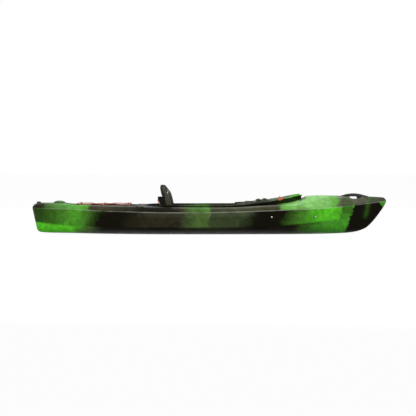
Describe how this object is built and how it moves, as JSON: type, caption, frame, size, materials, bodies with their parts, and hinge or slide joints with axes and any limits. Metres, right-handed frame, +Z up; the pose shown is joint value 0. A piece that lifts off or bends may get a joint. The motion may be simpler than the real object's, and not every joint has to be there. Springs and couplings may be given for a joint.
{
  "type": "fishing kayak",
  "caption": "Sit-inside fishing kayak with a moulded hull, long cockpit, dash, tankwell, padded folding backrest and sliding foot braces.",
  "frame": {"origin": "under the middle of the hull's length and beam, on the plane of the flat of the keel", "axes": "+X to the bow, +Y to port, +Z up"},
  "size_m": [3.048, 0.7296, 0.425],
  "materials": {
    "hull": "marbled green and black moulded polyethylene",
    "black_plastic": "satin moulded",
    "orange_plastic": "satin moulded",
    "steel": "stainless",
    "rubber": "matt",
    "bungee": "braided",
    "fabric": "woven",
    "foam": "closed-cell foam"
  },
  "bodies": {
    "hull": {"hull_shell": "hull", "bow_handle": "rubber", "handle_bolt_rear": "steel", "handle_bolt_front": "steel", "drain_bush": "black_plastic", "well_loop_starboard_1": "black_plastic", "well_loop_starboard_2": "black_plastic", "well_loop_starboard_3": "black_plastic", "well_loop_port_1": "black_plastic", "well_loop_port_2": "black_plastic", "well_loop_port_3": "black_plastic", "tankwell_bungee": "bungee", "dash_bungee": "bungee", "bungee_hook_starboard": "orange_plastic", "bungee_hook_port": "orange_plastic", "rod_holder_starboard": "black_plastic", "rod_holder_port": "black_plastic", "accessory_plate": "black_plastic", "plate_screw_1": "steel", "plate_screw_2": "steel", "plate_screw_3": "steel", "plate_screw_4": "steel", "foot_rail_starboard": "black_plastic", "foot_rail_port": "black_plastic", "brace_screw_rear_starboard": "steel", "brace_screw_front_starboard": "steel", "brace_screw_rear_port": "steel", "brace_screw_front_port": "steel", "seat_pan": "black_plastic", "seat_cushion": "fabric", "backrest_bolt_starboard": "steel", "backrest_bolt_port": "steel", "strap_anchor_starboard": "black_plastic", "strap_anchor_port": "black_plastic", "backrest_strap_starboard": "fabric", "backrest_strap_port": "fabric", "thigh_pad_starboard": "foam", "thigh_pad_port": "foam", "bow_pillar": "foam"},
    "backrest": {"backrest_frame": "black_plastic", "backrest_pad": "fabric", "rear_pouch": "fabric", "pouch_pull": "bungee"},
    "pedal_starboard": {"foot_pedal_starboard": "black_plastic"},
    "pedal_port": {"foot_pedal_port": "black_plastic"},
    "lever_starboard": {"pedal_lever_starboard": "orange_plastic"},
    "lever_port": {"pedal_lever_port": "orange_plastic"},
    "drain_ring": {"drain_gasket": "rubber"},
    "drain_knob": {"drain_plug": "black_plastic"}
  },
  "joints": [
    {"name": "backrest_recline", "type": "hinge", "parent": "hull", "child": "backrest", "pos_m": [-0.332, 0, 0.076], "axis": [0, 1, 0], "range_deg": [-8, 55], "deforming": ["backrest_strap_starboard", "backrest_strap_port"]},
    {"name": "pedal_slide_starboard", "type": "slide", "parent": "hull", "child": "pedal_starboard", "axis": [0.9746, 0.224, 0], "range_m": [-0.14, 0.14]},
    {"name": "pedal_lever_starboard", "type": "hinge", "parent": "pedal_starboard", "child": "lever_starboard", "pos_m": [0.68903, -0.24519, 0.131], "axis": [0.9746, 0.224, 0], "range_deg": [0, 25], "stiffness_Nm_per_rad": 0.05},
    {"name": "pedal_slide_port", "type": "slide", "parent": "hull", "child": "pedal_port", "axis": [0.9746, -0.224, 0], "range_m": [-0.14, 0.14]},
    {"name": "pedal_lever_port", "type": "hinge", "parent": "pedal_port", "child": "lever_port", "pos_m": [0.68903, 0.24519, 0.131], "axis": [-0.9746, 0.224, 0], "range_deg": [0, 25], "stiffness_Nm_per_rad": 0.05},
    {"name": "drain_lift", "type": "slide", "parent": "hull", "child": "drain_ring", "axis": [0, 0, 1], "range_m": [0, 0.006]},
    {"name": "drain_turn", "type": "hinge", "parent": "drain_ring", "child": "drain_knob", "pos_m": [-1.47401, 0, 0.27384], "axis": [0, 0, 1], "range_deg": [0, 720]}
  ],
  "couplings": [
    {"joint": "drain_turn", "follows": "drain_lift", "rad_per_m": 2094.4}
  ]
}
